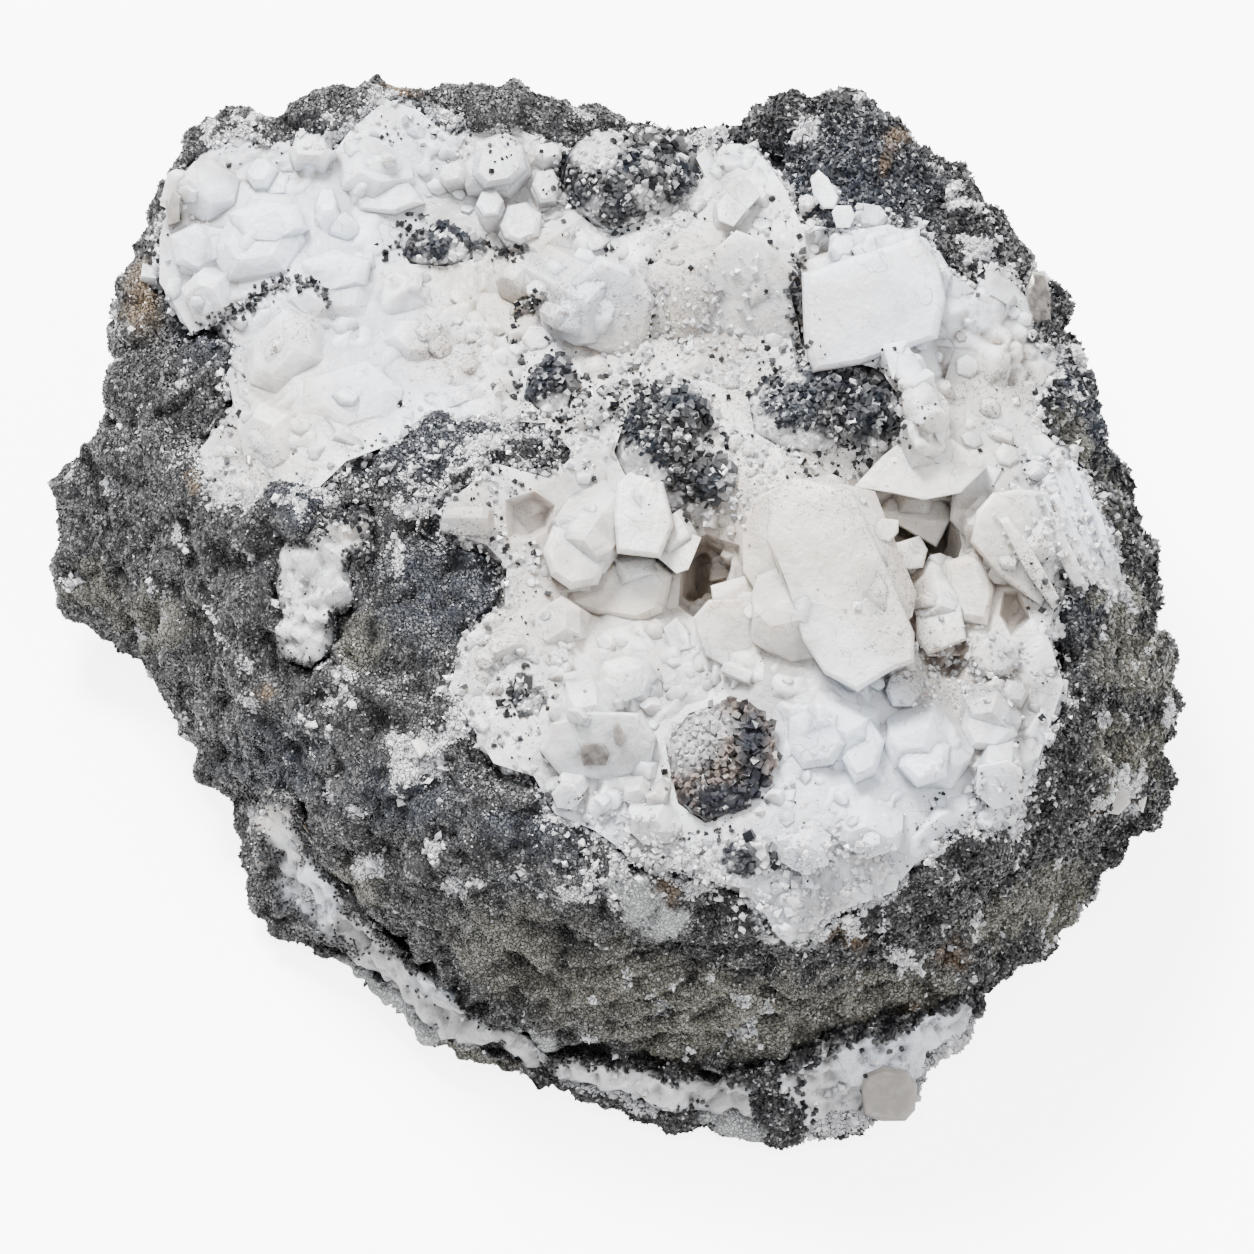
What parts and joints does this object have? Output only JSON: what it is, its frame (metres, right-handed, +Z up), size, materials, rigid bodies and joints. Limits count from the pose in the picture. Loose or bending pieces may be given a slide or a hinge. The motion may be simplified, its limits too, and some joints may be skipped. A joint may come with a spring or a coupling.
{
  "type": "tarnowitzite specimen",
  "caption": "Cabinet mineral specimen: a crust of milky white blocky carbonate crystals with dark druse patches on dark granular rock, resting on its flat underside.",
  "frame": {"origin": "centre of the bounding box's bottom, on the resting face", "axes": "+Z up, -Y towards the viewer of the picture, +X to the viewer's right along the widest side"},
  "size_m": [0.1116, 0.1032, 0.0491],
  "materials": {
    "matrix_rock": "rough, dark grey granular rock with small metallic sulphide grains",
    "crystal_crust": "milky white, slightly waxy crystals",
    "calcite": "white sparry calcite, sugary",
    "galena_druse": "dark lead-grey druse of small crystals, bright facets",
    "sphalerite_druse": "brown-grey druse of small crystals"
  },
  "bodies": {
    "root": {"matrix_rock": "matrix_rock", "crystal_crust": "crystal_crust", "calcite_vein": "calcite", "calcite_pocket": "calcite", "galena_patch_centre_left": "galena_druse", "galena_patch_centre_right": "galena_druse", "galena_patch_top": "galena_druse", "galena_patch_upper_left": "galena_druse", "galena_patch_ridge_end": "galena_druse", "galena_patch_low_left": "galena_druse", "galena_patch_low_right": "galena_druse", "sphalerite_patch_low": "sphalerite_druse"}
  },
  "joints": []
}
